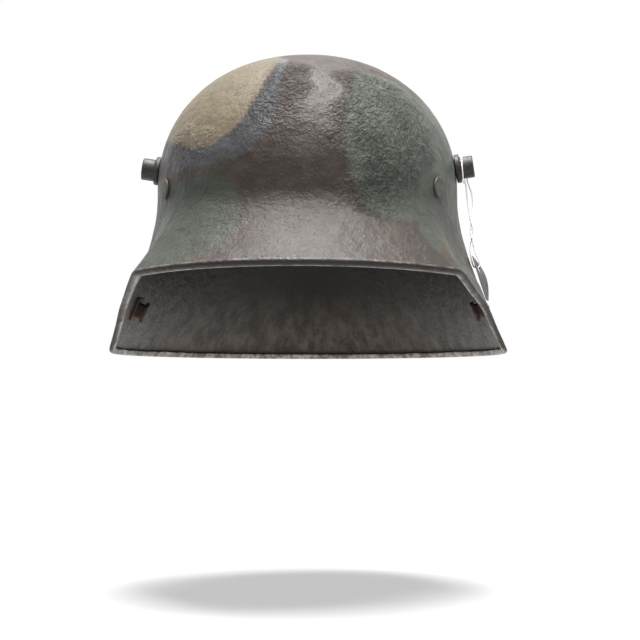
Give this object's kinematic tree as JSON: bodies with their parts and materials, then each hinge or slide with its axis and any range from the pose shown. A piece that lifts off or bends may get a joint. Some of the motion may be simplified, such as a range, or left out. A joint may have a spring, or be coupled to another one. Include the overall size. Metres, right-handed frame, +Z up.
{
  "type": "steel helmet",
  "caption": "Flared steel combat helmet with visor, rolled rim, stepped side vent lugs, a leather liner and a small tag.",
  "frame": {"origin": "middle of the box of the helmet without its tag, on the plane that the rolled rim rests on", "axes": "+Z up to the crown, -Y out over the visor, +X towards the wearer's left"},
  "size_m": [0.236, 0.2984, 0.1765],
  "materials": {
    "camouflage_paint": "matt, hand painted in patches and flaking",
    "lug_paint": "worn dark paint over steel",
    "rivet_paint": "matt paint over steel",
    "bare_steel": "dull",
    "band_leather": "aged and dull",
    "pad_leather": "soft, worn and creased",
    "cushion_cloth": "coarse plain weave",
    "tie_cord": "waxed twine",
    "stud_metal": "dull",
    "rusty_steel": "dark and rusty",
    "white_cotton": "twisted thread",
    "grey_card": "matt"
  },
  "bodies": {
    "helmet": {"shell": "camouflage_paint", "vent_lug_left": "lug_paint", "vent_lug_right": "lug_paint", "liner_band": "band_leather", "liner_rivet_front_left": "rivet_paint", "liner_rivet_front_right": "rivet_paint", "liner_rivet_rear": "rivet_paint", "rivet_washers": "bare_steel", "liner_pad_front": "pad_leather", "liner_pad_left": "pad_leather", "liner_pad_right": "pad_leather", "cushion_front": "cushion_cloth", "cushion_left": "cushion_cloth", "cushion_right": "cushion_cloth", "pad_tie_front": "tie_cord", "pad_tie_left": "tie_cord", "pad_tie_right": "tie_cord", "pad_studs": "stud_metal", "strap_lug_left": "rusty_steel", "strap_lug_right": "rusty_steel", "strap_rivet_left": "rivet_paint", "strap_rivet_right": "rivet_paint"},
    "tag": {"tag_string": "white_cotton", "tag_card": "grey_card"}
  },
  "joints": [
    {"name": "tag_swing", "type": "hinge", "parent": "helmet", "child": "tag", "pos_m": [0.08784, -0.00766, 0.109], "axis": [0.988, -0.0554, 0.1444], "range_deg": [-60, 60]}
  ]
}
